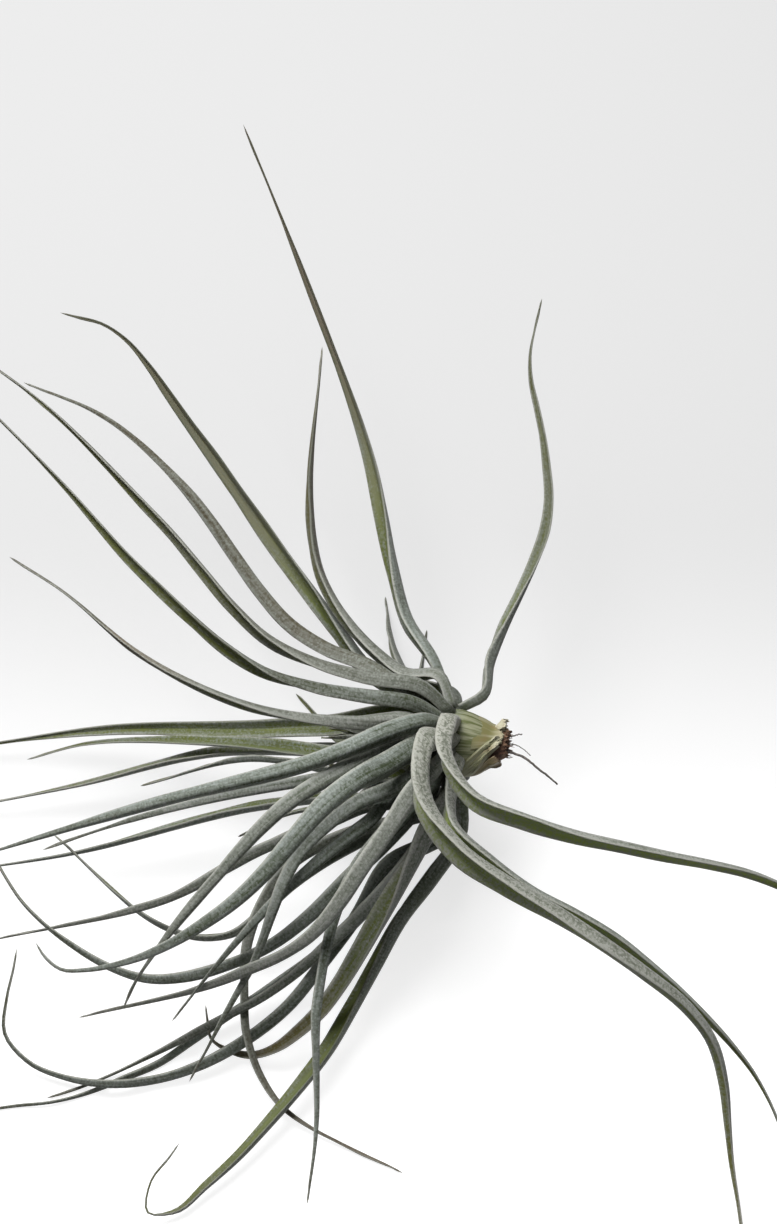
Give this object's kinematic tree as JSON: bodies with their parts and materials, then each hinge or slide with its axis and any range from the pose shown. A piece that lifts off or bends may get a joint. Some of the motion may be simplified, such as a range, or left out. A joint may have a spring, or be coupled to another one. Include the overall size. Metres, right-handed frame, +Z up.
{
  "type": "air plant",
  "caption": "Picked air plant laid on its side: narrow channelled silver-grey leaves fan from a short stem with dry sheaths and rootlets.",
  "frame": {"origin": "on the surface the plant lies on, under the middle of its bounding box", "axes": "+Z up from the surface, +X towards the broken end of the stem, +Y away from the viewer of the picture"},
  "size_m": [0.285, 0.3436, 0.1164],
  "materials": {
    "leaf": "matt, frosted with fine grey scales",
    "young_leaf": "matt, frosted, greener than the old leaves",
    "dry_sheath": "dry, thin, slightly glossy",
    "stem": "dry and fibrous"
  },
  "bodies": {
    "root": {"bud": "young_leaf", "leaf_01": "leaf", "leaf_02": "leaf", "leaf_03": "leaf", "leaf_04": "leaf", "leaf_05": "leaf", "leaf_06": "leaf", "leaf_07": "leaf", "leaf_08": "leaf", "leaf_09": "leaf", "leaf_10": "leaf", "leaf_11": "leaf", "leaf_12": "leaf", "leaf_13": "leaf", "leaf_14": "leaf", "leaf_15": "leaf", "leaf_16": "leaf", "leaf_17": "leaf", "leaf_18": "leaf", "leaf_19": "leaf", "leaf_20": "leaf", "leaf_21": "leaf", "leaf_22": "leaf", "leaf_23": "leaf", "leaf_24": "leaf", "leaf_25": "leaf", "leaf_26": "leaf", "leaf_27": "leaf", "leaf_28": "leaf", "leaf_29": "leaf", "leaf_30": "leaf", "leaf_31": "leaf", "leaf_32": "leaf", "leaf_33": "leaf", "leaf_34": "leaf", "leaf_35": "leaf", "leaf_36": "leaf", "leaf_37": "leaf", "leaf_38": "leaf", "leaf_39": "leaf", "leaf_40": "leaf", "sheath_far": "dry_sheath", "sheath_front": "dry_sheath", "sheath_lower": "dry_sheath", "sheath_tip": "dry_sheath", "sheath_upper": "dry_sheath", "stem": "stem"}
  },
  "joints": []
}
